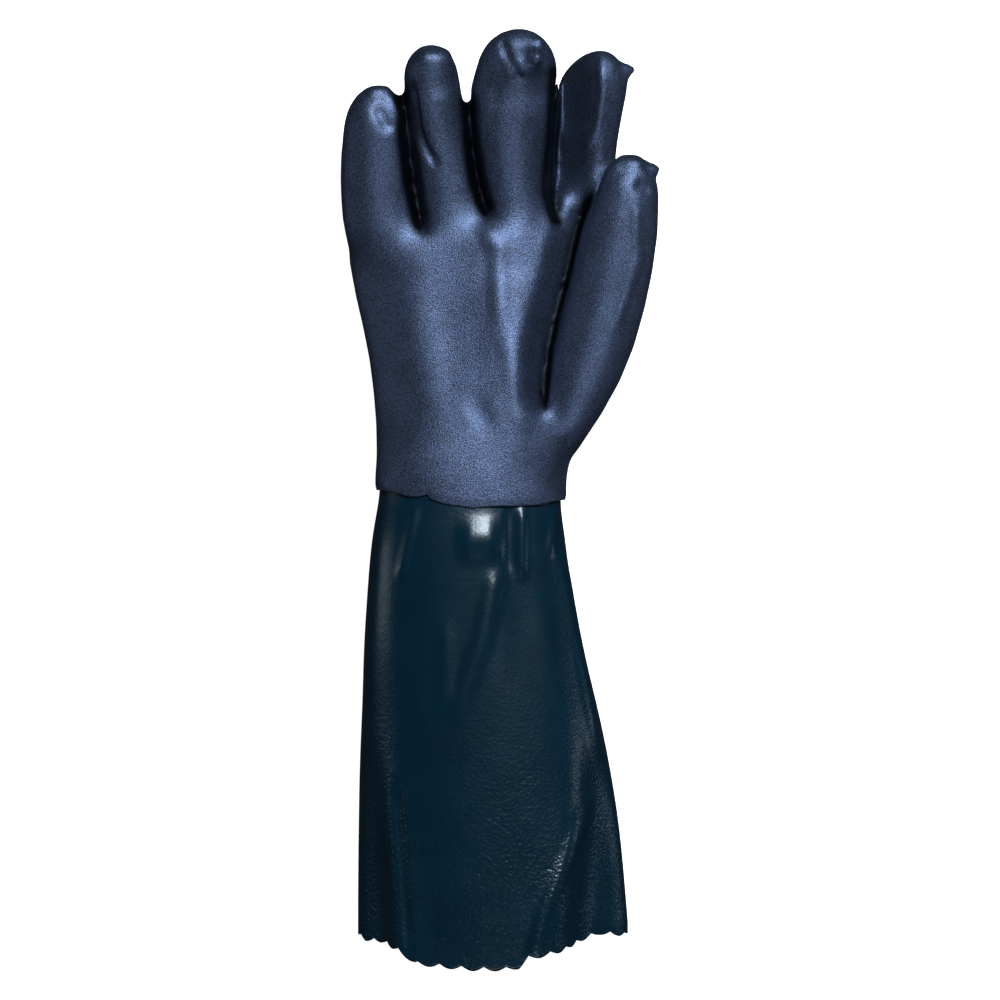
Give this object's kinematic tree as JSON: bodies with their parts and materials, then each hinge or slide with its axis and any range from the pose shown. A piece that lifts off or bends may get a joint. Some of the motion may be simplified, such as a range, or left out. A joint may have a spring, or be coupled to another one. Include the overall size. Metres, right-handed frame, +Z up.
{
  "type": "pvc coated work glove",
  "caption": "Right-hand coated work glove with a long flared gauntlet cuff and a pinked hem, lying on its back with the palm up and the fingers slightly curled.",
  "frame": {"origin": "under the middle of the glove's bounding box, on the surface it lies on", "axes": "+Y from the hem to the fingertips, +X towards the thumb, +Z up out of the palm"},
  "size_m": [0.1506, 0.437, 0.0769],
  "materials": {
    "hand_coating": "matt, with a fine sandy grain",
    "sleeve_coating": "glossy, with a fine pebbled grain towards the hem"
  },
  "bodies": {
    "root": {"hand_shell": "hand_coating", "gauntlet": "sleeve_coating"}
  },
  "joints": []
}
